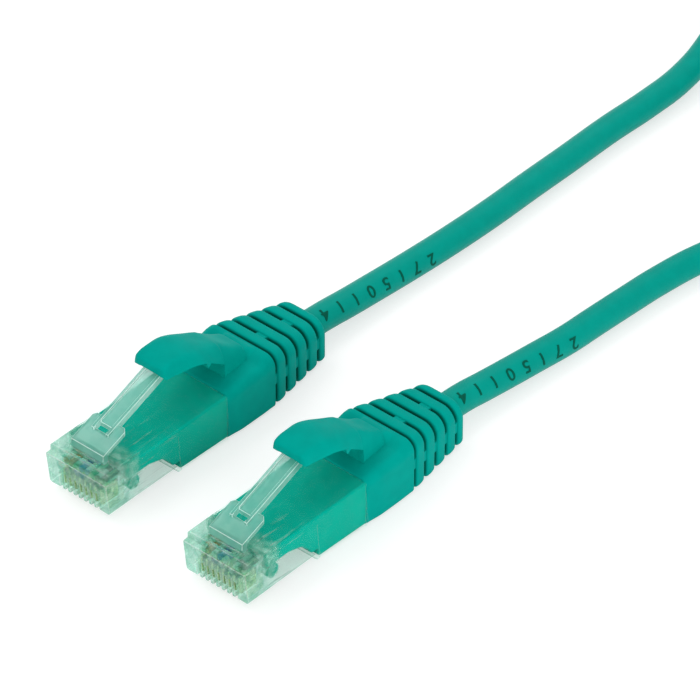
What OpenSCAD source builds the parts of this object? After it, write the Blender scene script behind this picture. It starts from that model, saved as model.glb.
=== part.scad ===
// Ethernet patch cable: one cord with a clear 8-contact plug and a moulded boot on each end.
// The two plugs lie side by side, noses toward -Y; the cord leaves toward +Y and ends in a round coil.
// Millimetres, +Z up. Origin: on the table, under the middle of the two plugs.

/* [Plug housing] */
// Width of the nose that enters the jack
body_w = 11.68; // [11.4:0.01:11.8]
// Height of the nose
nose_h = 6.8; // [6.6:0.05:7.2]
// Length of the nose, front lip to shoulder
nose_len = 15; // [14.5:0.1:17]
// Length of the clear housing, front lip to rear face
housing_len = 25.1; // [24:0.1:26]
// Width of the housing behind the shoulder
rear_w = 12.5; // [12.1:0.1:13.2]
// Height of the nose underside above the table
nose_lift = 0.95; // [0.6:0.05:1.4]
// Height of the front lip
lip_h = 5.65; // [5.4:0.05:5.9]
// Depth of the step behind the front lip
lip_len = 1; // [0.6:0.1:1.3]
// How far the foot of the front face sits back
front_lean = 0.7; // [0.3:0.1:0.9]
// Radius of the long edges of the nose
edge_r = 0.4; // [0.2:0.05:0.6]
// Radius of the lower edges behind the shoulder
rear_edge_r = 0.8; // [0.5:0.05:1]
// Radius of the upper edges behind the shoulder
rear_top_r = 1.3; // [0.6:0.1:1.4]
// Thickness of the side walls beside the moulded insert
side_wall = 0.6; // [0.5:0.05:0.9]
// Thickness of the roof over the moulded insert
roof_t = 0.75; // [0.6:0.05:0.9]
// Thickness of the floor behind the shoulder
floor_t = 0.6; // [0.5:0.05:0.75]

/* [Contacts and wires] */
// Number of contacts and wires
ways = 8; // [6:2:8]
// Spacing of the contacts
contact_pitch = 1.02; // [1:0.01:1.05]
// Thickness of a contact blade
contact_t = 0.35; // [0.25:0.01:0.4]
// Length of a contact blade
contact_len = 3.3; // [2.8:0.1:3.4]
// Height of a contact blade with its tines
contact_h = 3.2; // [2.8:0.1:3.4]
// Setback of the blades from the front lip
contact_setback = 1.3; // [1.1:0.1:1.4]
// Outer diameter of an insulated wire
wire_d = 0.94; // [0.8:0.02:0.96]
// Height of the wire row above the nose underside
wire_row_z = 4.45; // [4.35:0.05:4.6]
// Length of the load bar that holds the wires in their row
bar_len = 3; // [2.5:0.1:4]

/* [Latch] */
// Width of the latch plate at the nose
latch_w = 6.3; // [5.8:0.1:6.8]
// Width of the latch tongue
tongue_w = 3.3; // [3:0.1:3.8]
// Distance from the front lip to the latch hinge
latch_hinge_y = 2.95; // [2.6:0.05:3.2]
// Radius of the latch's hinge root
latch_root_r = 0.55; // [0.45:0.05:0.6]
// Rise of the latch per millimetre of length
latch_rise = 0.383; // [0.36:0.002:0.39]
// Thickness of the latch plate and of the tongue's web
latch_t = 0.75; // [0.6:0.05:0.85]
// Height of the rims along the tongue above its web
rim_h = 0.45; // [0.2:0.05:0.5]
// Distance from the front lip to the latch's catch shoulders
catch_y = 7.5; // [7.2:0.1:8]
// Distance from the front lip to the end of the tongue
tongue_end_y = 17; // [16.4:0.1:17.4]

/* [Boot] */
// Width of the boot at its front
boot_w = 13; // [12.7:0.1:13.4]
// Height of the boot at its front
boot_h = 8.7; // [8.5:0.1:9]
// Height of the boot's hump behind the hood
hump_h = 9.4; // [9.2:0.1:9.8]
// Distance from the front lip to the first slot of the strain relief
relief_y = 35.1; // [35:0.1:36]
// Number of slots in the strain relief
slots = 5; // [3:1:6]
// Spacing of the slots
slot_pitch = 2.74; // [2.5:0.01:3]
// Width of a slot
slot_w = 0.75; // [0.65:0.05:1.2]
// Depth of a slot
slot_depth = 0.95; // [0.6:0.05:1]
// Width that the boot loses on each side, per millimetre along the strain relief
side_taper = 0.155; // [0.13:0.005:0.16]
// Height that the boot loses per millimetre along the strain relief
top_taper = 0.165; // [0.13:0.005:0.18]
// Height of the solid bar that bridges the slots at each side
side_bar_h = 2.2; // [1.5:0.1:2.6]
// Width of the bridges over the even slots
top_bridge_w = 2.2; // [1.4:0.1:3]
// How far the bridges lie beside the middle
top_bridge_x = 0.8; // [0:0.1:1.2]
// Radius of the strain relief's upper edges at its front
crown_r = 1.9; // [1.4:0.1:2.6]

/* [Hood] */
// Half the width of the hood over the latch
hood_half_w = 4.2; // [3.9:0.05:4.4]
// Half the width of the hood's root
hood_root_half_w = 3.3; // [3:0.05:3.6]
// Wall thickness of the hood's roof
hood_t = 1.15; // [0.9:0.05:1.25]
// Wall thickness of the hood's sides
hood_side_t = 0.9; // [0.7:0.05:1.1]
// Height of the hood's sides where they are deepest
hood_side_h = 3.2; // [2.8:0.1:3.4]
// Gap between the hood's roof and the rims of the latch
hood_gap = 0.9; // [0.7:0.05:1.1]
// Distance from the front lip to the tip of the hood
hood_tip_y = 15.5; // [15.3:0.1:15.9]
// Distance from the front lip to the hood's hinge
hood_hinge_y = 31.2; // [31:0.1:31.4]
// Length of the solid root in front of the hood's hinge
hood_root_len = 3.75; // [3.4:0.05:4]
// Radius of the hood's hinge root
hood_root_r = 1.3; // [1.1:0.1:1.4]
// Height of the small tooth under each side of the hood
tooth_h = 0.85; // [0.5:0.05:1]

/* [Cord] */
// Diameter of the cord
cord_d = 4.5; // [4.2:0.1:4.7]
// Height of the cord's axis inside the plug and where it leaves the boot
exit_z = 3.4; // [3.2:0.05:3.6]
// Distance between the middles of the two plugs
plug_spacing = 27.6; // [24:0.2:34]
// How far the second plug lies ahead of the first
plug_stagger = 1.2; // [0:0.1:3]

/* [Coil] */
// Number of turns in the coil, over both layers
coil_turns = 4.5; // [2.5:1:6.5]
// Radius of the coil's outer turn, to the cord's axis
coil_r = 30; // [30:0.5:40]
// Free gap between neighbouring turns
coil_gap = 0.45; // [0.42:0.01:0.6]
// Width of the tie round the coil
tie_w = 8; // [5:1:9]
// Thickness of the tie
tie_t = 0.5; // [0.4:0.05:0.6]
// Slack between the tie and the turns that it holds
tie_slack = 0.3; // [0.3:0.05:0.6]

/* [Fits] */
// Clearance round moulded and pressed-in pieces
fit = 0.05; // [0.03:0.01:0.06]
// Clearance round the hinge roots
hinge_fit = 0.06; // [0.03:0.01:0.08]

/* [Hidden] */
SIDES = ["a", "b"];

GREEN = "#009b87";
CLEAR = [0.72, 0.86, 0.78, 0.45];
GOLD = "#d9b25a";
WIRE_COLOURS = ["#f3c9a0", "#e8792b", "#b9e0c0", "#2d6fc1", "#a9c6ea", "#2f9e57", "#d8c0ab", "#7a4a2a"];

// Housing, worked out from its sizes
top_z = nose_lift + nose_h;
lip_z = nose_lift + lip_h;
row_z = nose_lift + wire_row_z;
cavity_half_w = body_w / 2 - side_wall;
insert_top = top_z - roof_t;
slot_gap = 0.055;
blade_slot_w = contact_t + 2 * slot_gap;
channel_h = wire_d + 2 * fit;
channel_half_w = ways * contact_pitch / 2 + 0.1;
wire_front_y = contact_setback + 0.35;
insert_front_y = 4.8;
over = 1;

// Strain relief, worked out from its sizes
relief_len = slots * slot_pitch;
boot_end = relief_y + relief_len;
bar_front_z = 4.75;
bar_fall = 0.35;
function bar_mid_z(k) = bar_front_z - bar_fall * min(k, 3);

// Where each plug stands, and where its cord leaves
mid_y = (boot_end - plug_stagger) / 2;
PLUG_POS = [[-plug_spacing / 2, -mid_y, 0], [plug_spacing / 2, -mid_y - plug_stagger, 0]];

module at_plug(s) {
    translate(PLUG_POS[s])
        children();
}

// ---------- outlines ----------

// A rectangle with round corners, from corner [x0, y0] to corner [x1, y1]
module round_rect(x0, y0, x1, y1, r) {
    translate([x0 + r, y0]) square([x1 - x0 - 2 * r, y1 - y0]);
    translate([x0, y0 + r]) square([x1 - x0, y1 - y0 - 2 * r]);
    for (x = [x0 + r, x1 - r], y = [y0 + r, y1 - r])
        translate([x, y]) circle(r = r, $fn = 32);
}

// A bar along Y whose section is the children, from y0 to y1
module along_y(y0, y1) {
    translate([0, y1, 0]) rotate([90, 0, 0])
        linear_extrude(height = y1 - y0) children();
}

// A bar along X whose side profile, in Y and Z, is the children, half_w to each side
module along_x(half_w) {
    rotate([90, 0, 90]) translate([0, 0, -half_w])
        linear_extrude(height = 2 * half_w) children();
}

// Faces that close a section of n points: a fan, or a strip between the two halves of a folded section
function cap(n, folded) = folded
    ? [for (k = [0 : n / 2 - 2]) each [[k, n - 2 - k, k + 1], [k, n - 1 - k, n - 2 - k]]]
    : [for (j = [1 : n - 2]) [0, j + 1, j]];

// A solid skinned over a list of sections, each a list of points in order
module skin(sections, folded = false) {
    n = len(sections[0]);
    last = len(sections) - 1;
    points = [for (s = sections) for (p = s) p];
    sides = [for (i = [0 : last - 1], j = [0 : n - 1]) let (k = (j + 1) % n) each [
        [i * n + j, i * n + k, (i + 1) * n + k],
        [i * n + j, (i + 1) * n + k, (i + 1) * n + j]
    ]];
    front = cap(n, folded);
    back = [for (f = front) [for (j = [2 : -1 : 0]) last * n + f[j]]];
    polyhedron(points = points, faces = concat(sides, front, back), convexity = 6);
}

// ---------- tubes ----------

function unit(v) = v / norm(v);

// Direction of a route at its point i
function heading(route, i) =
    unit(route[min(i + 1, len(route) - 1)] - route[max(i - 1, 0)]);

// One ring of a tube: n points round route point i, one of them lowest; end rings can have a given heading
function ring(route, i, r, n, ends) =
    let (
        given = i == 0 ? ends[0] : i == len(route) - 1 ? ends[1] : undef,
        d = is_undef(given) ? heading(route, i) : given,
        side = unit(cross(d, [0, 0, 1])),
        up = cross(side, d)
    )
    [for (j = [0 : n - 1]) let (a = 90 - 360 * j / n) route[i] + r * (cos(a) * side + sin(a) * up)];

// A round tube of n sides swept along a route
module tube(route, r, n, ends = [undef, undef]) {
    skin([for (i = [0 : len(route) - 1]) ring(route, i, r, n, ends)]);
}

// ---------- plug housing ----------

// Side profile of the moulded insert inside the housing, in Y and Z, grown by g
module insert_profile(g) {
    deep_z = nose_lift + floor_t;
    polygon([
        [insert_front_y - g, insert_top + g],
        [insert_front_y - g, row_z - wire_d / 2 - 0.05 - g],
        [9.2, row_z - wire_d / 2 - 0.05 - g],
        [12 - g, 4.1 - g],
        [13.6 - g, 2.6],
        [nose_len - 0.8, deep_z - g],
        [nose_len + floor_t - g, deep_z - g],
        [nose_len + floor_t - g, floor_t - g],
        [housing_len + g, floor_t - g],
        [housing_len + g, insert_top + g]
    ]);
}

// One lobe of the insert beside the contacts, grown by g
module insert_lobe(side, g) {
    lobe_y = 6;
    lobe_r = 1.15;
    inner_x = cavity_half_w - 1.3;
    x = side > 0 ? inner_x - g : -cavity_half_w - g + fit;
    translate([x, lobe_y, row_z - wire_d / 2 - lobe_r])
        rotate([0, 90, 0])
            cylinder(r = lobe_r + g, h = cavity_half_w - inner_x + 2 * g - fit, $fn = 48);
}

// Slots under the contacts, open to the front and below
module blade_slots() {
    slot_len = contact_setback + contact_len + slot_gap;
    for (i = [0 : ways - 1])
        translate([blade_x(i) - blade_slot_w / 2, -over, -over])
            cube([blade_slot_w, slot_len + over, row_z - wire_d / 2 + over]);
}

function blade_x(i) = (i - (ways - 1) / 2) * contact_pitch;

// Section of the housing behind the shoulder: drafted sides, round edges above and below
module rear_outline() {
    half_w = rear_w / 2;
    top_half_w = body_w / 2 + 0.04;
    draft_z = 1.4;
    intersection() {
        round_rect(-half_w, 0, half_w, top_z + rear_edge_r, rear_edge_r);
        union() {
            polygon([
                [-half_w, 0], [half_w, 0], [half_w, draft_z], [top_half_w, top_z - rear_top_r],
                [-top_half_w, top_z - rear_top_r], [-half_w, draft_z]
            ]);
            round_rect(-top_half_w, draft_z, top_half_w, top_z, rear_top_r);
        }
    }
}

module housing_shell() {
    front_web = 1.8;
    difference() {
        union() {
            along_y(0, nose_len + 0.2)
                round_rect(-body_w / 2, nose_lift, body_w / 2, top_z, edge_r);
            along_y(nose_len, housing_len)
                rear_outline();
        }
        // step behind the front lip
        translate([-body_w / 2 - over, -over, lip_z])
            cube([body_w + 2 * over, lip_len + over, nose_h]);
        // front face, leaning back toward its foot
        along_x(body_w / 2 + over)
            polygon([
                [-over, nose_lift - over], [front_lean * (1 + over / lip_h), nose_lift - over],
                [0, lip_z], [-over, lip_z]
            ]);
        // finger-wide gate in front of the latch
        translate([-latch_w / 2 + 0.6, lip_len + 0.55, top_z - 0.5])
            cube([latch_w - 1.2, 0.7, over + 0.5]);
        // cradle of the latch's hinge root
        translate([-latch_w / 2 - hinge_fit, latch_hinge_y, latch_axis_z])
            rotate([0, 90, 0])
                cylinder(r = latch_root_r + hinge_fit, h = latch_w + 2 * hinge_fit, $fn = 48);
        // blade slots; the web that joins their walls stays above them at the front
        difference() {
            blade_slots();
            translate([-body_w / 2, -over, nose_lift + contact_h])
                cube([body_w, over + front_web, nose_h]);
        }
        // channel for the row of wires
        translate([-channel_half_w, wire_front_y - fit, row_z - channel_h / 2])
            cube([2 * channel_half_w, insert_front_y - wire_front_y + 2 * fit, channel_h]);
        // pocket for the moulded insert
        along_x(cavity_half_w)
            insert_profile(fit);
        along_x(cavity_half_w)
            translate([housing_len - 0.5, floor_t - fit])
                square([over, insert_top - floor_t + 2 * fit]);
        for (side = [-1, 1]) insert_lobe(side, fit);
    }
}

// ---------- contacts and wires ----------

module contact_blade(i) {
    base = nose_lift + 0.3;
    front = contact_setback;
    back = contact_setback + contact_len;
    tip = row_z - wire_d / 2 - 0.06;
    shelf = tip - 0.75;
    translate([blade_x(i), 0, 0])
        along_x(contact_t / 2)
            difference() {
                union() {
                    translate([front + 0.5, base]) square([contact_len - 0.5, shelf - base]);
                    translate([front, base + 0.5]) square([contact_len, shelf - base - 0.5]);
                    translate([front + 0.5, base + 0.5]) circle(r = 0.5, $fn = 32);
                    // tines that reach the wire
                    for (k = [0.3, 0.55, 0.8])
                        translate([front + k * contact_len, 0])
                            polygon([[-0.4, shelf - 0.05], [0.4, shelf - 0.05], [0.08, tip], [-0.08, tip]]);
                }
                translate([back - 1, base + 0.9]) circle(r = 0.3, $fn = 32);
            }
}

bar_y = insert_front_y + 0.25;

module load_bar() {
    half_w = channel_half_w;
    low_z = row_z + 0.2;
    difference() {
        along_y(bar_y, bar_y + bar_len)
            round_rect(-half_w, low_z, half_w, low_z + 0.65, 0.15);
        for (i = [0 : ways - 1])
            translate([blade_x(i), bar_y - over, row_z])
                rotate([-90, 0, 0])
                    cylinder(d = wire_d + 2 * fit, h = bar_len + 2 * over, $fn = 32);
    }
}

drop_y = 12.8;
gather_y = 16.4;
jacket_y = 19.8;
bundle_r = 1.27;

function ease(t) = t * t * (3 - 2 * t);

// Route of one wire: straight through the load bar, down to its layer, then in to its place in the bundle
function wire_route(i) =
    let (
        column = (floor(i / 2) + 0.5) * 360 / ways,
        layer = i % 2 == 0 ? -1 : 1,
        x0 = blade_x(i),
        x1 = -bundle_r * cos(column),
        z1 = exit_z + layer * bundle_r * sin(column)
    )
    concat(
        [[x0, wire_front_y, row_z], [x0, drop_y, row_z]],
        [for (k = [1 : 5])
            [x0, drop_y + (gather_y - drop_y) * k / 6, row_z + (z1 - row_z) * ease(k / 6)]],
        [for (k = [0 : 6])
            [x0 + (x1 - x0) * ease(k / 6), gather_y + (jacket_y - 0.2 - gather_y) * k / 6, z1]],
        [[x1, jacket_y + 4, z1]]
    );

module wire(i) {
    tube(wire_route(i), wire_d / 2, 8, [[0, 1, 0], [0, 1, 0]]);
}

// Jacket of the cord inside the plug and boot; its open end holds the wires
module jacket_end() {
    bore_r = bundle_r + wire_d / 2 + 0.08;
    difference() {
        translate([0, jacket_y, exit_z]) rotate([-90, 0, 0])
            cylinder(d = cord_d, h = boot_end - jacket_y, $fn = 64);
        translate([0, jacket_y - over, exit_z]) rotate([-90, 0, 0])
            cylinder(r = bore_r, h = 4.3 + over, $fn = 48);
    }
}

// ---------- latch ----------

latch_axis_z = top_z + latch_root_r - 0.2;
plate_front_y = latch_hinge_y - 0.45;
plate_top_z = nose_lift + 8.23;

function latch_top(y) = plate_top_z + latch_rise * (y - plate_front_y);

// Side profile of a length of the latch from y0 to y1, its top raised by up
module latch_profile(y0, y1, up = 0) {
    polygon([
        [y0, latch_top(y0) - latch_t], [y1, latch_top(y1) - latch_t],
        [y1, latch_top(y1) + up], [y0, latch_top(y0) + up]
    ]);
}

module latch() {
    window_y = 5.5;
    window_w = tongue_w - 0.9;
    rim_w = 0.55;
    chamfer = 0.7;
    difference() {
        union() {
            // hinge root
            translate([-latch_w / 2, latch_hinge_y, latch_axis_z]) rotate([0, 90, 0])
                cylinder(r = latch_root_r, h = latch_w, $fn = 48);
            // neck from the root up to the plate
            along_x(latch_w / 2)
                polygon([
                    [latch_hinge_y - latch_root_r, latch_axis_z],
                    [latch_hinge_y + latch_root_r, latch_axis_z],
                    [latch_hinge_y + latch_root_r, latch_top(latch_hinge_y) - 0.1],
                    [plate_front_y, plate_top_z - 0.1]
                ]);
            // wide plate with the catch shoulders
            along_x(latch_w / 2) latch_profile(plate_front_y, catch_y);
            // tongue with a rim along each edge
            along_x(tongue_w / 2) latch_profile(catch_y - 0.5, tongue_end_y);
            for (s = [-1, 1])
                translate([s * (tongue_w / 2 - rim_w / 2), 0, 0])
                    along_x(rim_w / 2) latch_profile(window_y - 0.4, tongue_end_y, rim_h);
        }
        // window between the shoulders
        translate([-window_w / 2, window_y, nose_lift])
            cube([window_w, catch_y - 0.9 - window_y, 12]);
        // clipped corners of the shoulders
        for (s = [-1, 1])
            translate([s * latch_w / 2, catch_y, nose_lift]) rotate([0, 0, 45])
                cube([chamfer, chamfer, 24], center = true);
    }
}

// ---------- boot ----------

// Section of the boot at y: half width a, from z0 to z1, corner radii r0 below and r1 above
function boot_section(y, a, z0, z1, r0, r1) =
    let (m = 5)
    [for (q = [[1, 1, r1, 0], [-1, 1, r1, 90], [-1, -1, r0, 180], [1, -1, r0, 270]], k = [0 : m - 1])
        let (
            t = q[3] + 90 * k / (m - 1),
            cx = q[0] * (a - q[2]),
            cz = q[1] > 0 ? z1 - q[2] : z0 + q[2]
        )
        [cx + q[2] * cos(t), y, cz + q[2] * sin(t)]];

// Sizes of the strain relief at y, drawn in by d
function relief_a(y) = boot_w / 2 - side_taper * (y - relief_y);
function relief_top(y) = hump_h - top_taper * (y - relief_y);
function relief_section(y, d) =
    let (r = crown_r + 0.05 * (y - relief_y))
    boot_section(y, relief_a(y) - d, d, relief_top(y) - d, 0.9 - d / 2, r - d / 2);

// One slot and the rib behind it, from y
function relief_step(y) = let (s = 0.3, e = y + slot_w, f = y + slot_pitch) [
    relief_section(y, slot_depth),
    relief_section(e, slot_depth),
    relief_section(e, s),
    relief_section(e + 0.3, 0),
    relief_section(f - 0.3, 0),
    relief_section(f, s)
];

module boot_outside() {
    half_w = boot_w / 2;
    hump_y = hood_hinge_y + hood_root_r + 0.25;
    skin(concat(
        [
            boot_section(housing_len, half_w - 0.2, 0.1, boot_h - 0.4, 0.7, 1.4),
            boot_section(housing_len + 0.25, half_w - 0.05, 0, boot_h - 0.12, 0.8, 1.5),
            boot_section(housing_len + 0.8, half_w, 0, boot_h, 0.8, 1.5),
            boot_section(hump_y - 0.35, half_w, 0, boot_h + 0.05, 0.8, 1.6),
            boot_section(relief_y - 0.9, half_w, 0, hump_h - 0.05, 0.9, crown_r),
            boot_section(relief_y - 0.3, half_w, 0, hump_h, 0.9, crown_r),
            relief_section(relief_y, 0.3)
        ],
        [for (k = [0 : slots - 1]) each relief_step(relief_y + k * slot_pitch)]
    ));
}

// Bars that bridge each slot at both sides, and bridges over and under the even slots
module slot_bridges() {
    for (k = [0 : slots - 1]) {
        y = relief_y + k * slot_pitch;
        half_w = relief_a(y + slot_w) - 0.15;
        translate([-half_w, y - 0.3, bar_mid_z(k) - side_bar_h / 2])
            cube([2 * half_w, slot_w + 0.6, side_bar_h]);
        if (k % 2 == 1)
            translate([top_bridge_x - top_bridge_w / 2, y - 0.3, 0.12])
                cube([top_bridge_w, slot_w + 0.6, relief_top(y + slot_w) - 0.3]);
    }
}

module boot() {
    bundle_half = bundle_r + wire_d / 2 + 0.15;
    funnel_half_w = channel_half_w + fit;
    front_y = insert_front_y - over;
    difference() {
        union() {
            boot_outside();
            slot_bridges();
            along_x(cavity_half_w - fit) insert_profile(0);
            along_x(cavity_half_w - fit)
                translate([housing_len - 0.5, floor_t])
                    square([1.5, insert_top - floor_t]);
            for (side = [-1, 1]) insert_lobe(side, 0);
        }
        // bore round the cord's jacket
        translate([0, jacket_y - fit, exit_z]) rotate([-90, 0, 0])
            cylinder(d = cord_d + 2 * fit, h = boot_end - jacket_y + over, $fn = 64);
        // funnel where the wires draw in from their row to the jacket
        intersection() {
            linear_extrude(height = 20)
                polygon([
                    [-funnel_half_w, front_y], [funnel_half_w, front_y], [funnel_half_w, gather_y + 1.2],
                    [cord_d / 2, jacket_y], [-cord_d / 2, jacket_y], [-funnel_half_w, gather_y + 1.2]
                ]);
            along_x(cavity_half_w)
                polygon([
                    [front_y, row_z - wire_d], [drop_y, row_z - wire_d],
                    [gather_y - 0.4, exit_z - bundle_half], [jacket_y, exit_z - bundle_half],
                    [jacket_y, exit_z + bundle_half],
                    [drop_y, row_z + 1], [front_y, row_z + 1]
                ]);
        }
        // cradle of the hood's hinge root, and the pocket that its solid root swings in
        pocket_half_w = hood_root_half_w + 0.3;
        translate([-pocket_half_w, hood_hinge_y, hood_axis_z])
            rotate([0, 90, 0])
                cylinder(r = hood_root_r + hinge_fit, h = 2 * pocket_half_w, $fn = 64);
        translate([-pocket_half_w, root_front_y - 0.35, boot_h - root_drop])
            cube([2 * pocket_half_w, hood_root_len + 0.35, root_drop + over]);
        translate([-pocket_half_w, hood_hinge_y, hood_axis_z])
            cube([2 * pocket_half_w, hood_root_r + hinge_fit, 4]);
    }
}

// ---------- hood ----------

hood_range = 12;
hood_axis_z = boot_h + 0.05;
hood_peak_z = latch_top(tongue_end_y) + rim_h + hood_gap + hood_t;
root_front_y = hood_hinge_y - hood_root_len;
root_drop = hood_root_len * sin(hood_range) + 0.25;

// Shape of the hood from its tip (0) to its hinge (1)
// Ridge line, as a share of the rise from the hinge to the peak
HOOD_RIDGE = [
    [0, 0.83], [0.031, 0.903], [0.082, 0.96], [0.182, 1], [0.327, 0.983], [0.434, 0.931], [0.509, 0.874],
    [0.623, 0.771], [0.758, 0.646], [0.852, 0.52], [0.94, 0.4], [1, 0.32], [1.066, 0.24]
];
// Height of the sides, as a share of their greatest height
HOOD_SIDES = [
    [0, 0.25], [0.031, 0.44], [0.096, 0.6], [0.182, 0.68], [0.327, 0.65], [0.434, 0.67], [0.509, 0.69],
    [0.623, 0.81], [0.758, 0.98]
];
// Half width between the root and the widest place, and how the tip rounds off in plan
HOOD_SPREAD = [[0.3, 1], [0.434, 0.94], [0.509, 0.83], [0.623, 0.61], [0.758, 0.33], [1, 0.06], [1.066, 0]];
HOOD_TIP = [[0, 0.6], [0.013, 0.68], [0.031, 0.72], [0.096, 0.775], [0.182, 0.855], [0.327, 0.96], [0.42, 1]];
// How square the sections are: the power of the curve across each
HOOD_BULGE = [[0, 6], [0.2, 6], [0.45, 4], [0.758, 5.5], [1, 7]];

function hood_share(y) = (y - hood_tip_y) / (hood_hinge_y - hood_tip_y);
function hood_top(y) = hood_axis_z + (hood_peak_z - hood_axis_z) * lookup(hood_share(y), HOOD_RIDGE);
function hood_half(y) = let (u = hood_share(y))
    lookup(u, HOOD_TIP) * (hood_root_half_w + (hood_half_w - hood_root_half_w) * lookup(u, HOOD_SPREAD));
function hood_low(y) = hood_top(y) - hood_side_h * lookup(hood_share(y), HOOD_SIDES);

// Underside of the hood's solid root at y: flat, then round about the hinge
function root_low(y) = let (d = min(hood_root_r, abs(y - hood_hinge_y)))
    hood_axis_z - sqrt(hood_root_r * hood_root_r - d * d);

// Section of the hood at y: the outer skin, then the inner skin back; drop lowers the foot of each side
function hood_section(y, solid, drop = 0) =
    let (
        w = hood_half(y),
        m = 10,
        top = hood_top(y),
        low = solid ? root_low(y) : hood_low(y),
        roof = min(solid ? top : hood_t, top - low - 0.1),
        inner = w - hood_side_t,
        bulge = lookup(hood_share(y), HOOD_BULGE)
    )
    concat(
        [for (k = [0 : m]) let (u = cos(180 * k / m))
            [w * u, y, top - (top - low) * pow(abs(u), bulge) - (abs(u) == 1 ? drop : 0)]],
        [for (k = [0 : m]) let (u = -cos(180 * k / m))
            [inner * u, y, top - roof - (top - roof - low) * pow(abs(u), bulge) - (abs(u) == 1 ? drop : 0)]]
    );

// The hood with its solid root, and a small tooth under each side
module hood() {
    run = hood_hinge_y - hood_tip_y;
    tooth_y = hood_tip_y + 0.51 * run;
    skin(concat(
        [for (p = HOOD_RIDGE) if (p[0] < 0.47) hood_section(hood_tip_y + p[0] * run, false)],
        [for (t = [[-0.5, 0], [-0.2, tooth_h], [0.15, tooth_h], [0.6, 0]])
            hood_section(tooth_y + t[0], false, t[1])],
        [hood_section(hood_tip_y + 0.623 * run, false)],
        [hood_section(root_front_y, false)],
        [hood_section(root_front_y + 0.05, true)],
        [for (a = [0 : 18 : 144]) hood_section(hood_hinge_y - hood_root_r * cos(a), true)]
    ), folded = true);
}

// ---------- cord ----------

// Route of the first plug's cord, boot to coil, chosen by hand
ROUTE_A = [
    [-13.7, 29.2, 3.2], [-13.5, 33.5, 2.9], [-13.3, 39, 2.6], [-12.9, 47, 2.35], [-12.5, 56, 2.25],
    [-12.3, 65, 2.25], [-12.4, 74, 2.25], [-12.4, 83, 2.25], [-12.5, 93, 2.25], [-12.2, 102, 2.3],
    [-12.2, 110, 2.7], [-13.3, 118, 3.8], [-15.2, 125, 5.5], [-17, 131.5, 6.9], [-18.3, 138, 7.8]
];

// Route of the second plug's cord, boot to coil, chosen by hand
ROUTE_B = [
    [13.9, 28.2, 3.2], [14.2, 32, 2.9], [14.6, 36.5, 2.65], [15.2, 43, 2.4], [15.8, 49, 2.25],
    [16.1, 55, 2.25], [16.5, 62, 2.25], [17, 69, 2.25], [18.2, 77, 2.25], [20.6, 85, 2.25],
    [24.4, 93, 2.25], [29.2, 101, 2.25], [33.9, 108.5, 2.3], [37.7, 116, 2.45], [40.2, 124, 2.7],
    [41.2, 132, 2.95], [41.3, 138.5, 3.05]
];

// Middle of the coil, and the height of its lower layer
COIL_MID = [11.3, 149];
coil_pitch = cord_d + coil_gap;
coil_low_z = tie_t + tie_slack + cord_d / 2;
coil_sweep = 360 * coil_turns;
coil_steps = 24;

// Height share of the climb at sweep angle t: 0 below, 1 above, rising in the half turn at the middle
function climb(t) =
    ease(min(1, max(0, (t - coil_sweep / 2 + 90) / 180)));

// Centre line of the coil: the lower layer winds in, the upper layer winds out again
function coil_point(t) =
    let (r = coil_r - coil_pitch * min(t, coil_sweep - t) / 360)
    [COIL_MID[0] + r * cos(t), COIL_MID[1] + r * sin(t), coil_low_z + coil_pitch * climb(t)];

coil_in = [COIL_MID[0] + coil_r, COIL_MID[1] - cord_d, coil_low_z];
coil_out = [COIL_MID[0] - coil_r, COIL_MID[1] - cord_d, coil_low_z + coil_pitch];
COIL_ROUTE = concat(
    [coil_in],
    [for (k = [0 : coil_turns * coil_steps]) coil_point(360 * k / coil_steps)],
    [coil_out]
);

// Least gap between stretches of the coil that are more than a quarter turn apart
function coil_least_gap() =
    min([for (i = [0 : len(COIL_ROUTE) - 7], j = [i + 6 : len(COIL_ROUTE) - 1])
        norm(COIL_ROUTE[i] - COIL_ROUTE[j])]) - cord_d;

exit_a = PLUG_POS[0] + [0, boot_end, exit_z];
exit_b = PLUG_POS[1] + [0, boot_end, exit_z];

module cord_stretch(exit, route, end) {
    tube(concat([exit], route, [end]), cord_d / 2, 10, [[0, 1, 0], [0, 1, 0]]);
}

module coil() {
    echo(coil_least_gap = coil_least_gap());
    tube(COIL_ROUTE, cord_d / 2, 6, [[0, 1, 0], [0, -1, 0]]);
}

// Hook-and-loop tie round the far side of the coil
module tie() {
    inner_r = coil_r - coil_pitch * coil_turns / 2 - cord_d / 2;
    inner_y = COIL_MID[1] + sqrt(inner_r * inner_r - tie_w * tie_w / 4) - tie_slack;
    outer_y = COIL_MID[1] + coil_r - coil_pitch / 4 + cord_d / 2 + tie_slack;
    top = coil_low_z + coil_pitch + cord_d / 2 + tie_slack;
    corner_r = 2;
    translate([COIL_MID[0] - tie_w / 2, 0, 0]) rotate([90, 0, 90])
        linear_extrude(height = tie_w)
            difference() {
                round_rect(inner_y - tie_t, 0, outer_y + tie_t, top + tie_t, corner_r + tie_t);
                round_rect(inner_y, tie_t, outer_y, top, corner_r);
            }
}

// ---------- the parts ----------

for (s = [0, 1]) {
    name = str("plug_", SIDES[s]);
    at_plug(s) color(CLEAR) housing_shell();
    at_plug(s) color(CLEAR) latch();
    at_plug(s) color("white") load_bar();
    at_plug(s) color(GREEN) boot();
    at_plug(s) color(GREEN) hood();
    at_plug(s) color(GREEN) jacket_end();
    for (i = [1 : ways]) {
        at_plug(s) color(GOLD) contact_blade(i - 1);
        at_plug(s) color(WIRE_COLOURS[i - 1]) wire(i - 1);
    }
}
color(GREEN) cord_stretch(exit_a, ROUTE_A, coil_out);  // cord_a
color(GREEN) cord_stretch(exit_b, ROUTE_B, coil_in);  // cord_b
color(GREEN) coil();  // cord_coil
color("#1c1c1e") tie();  // coil_tie
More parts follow.
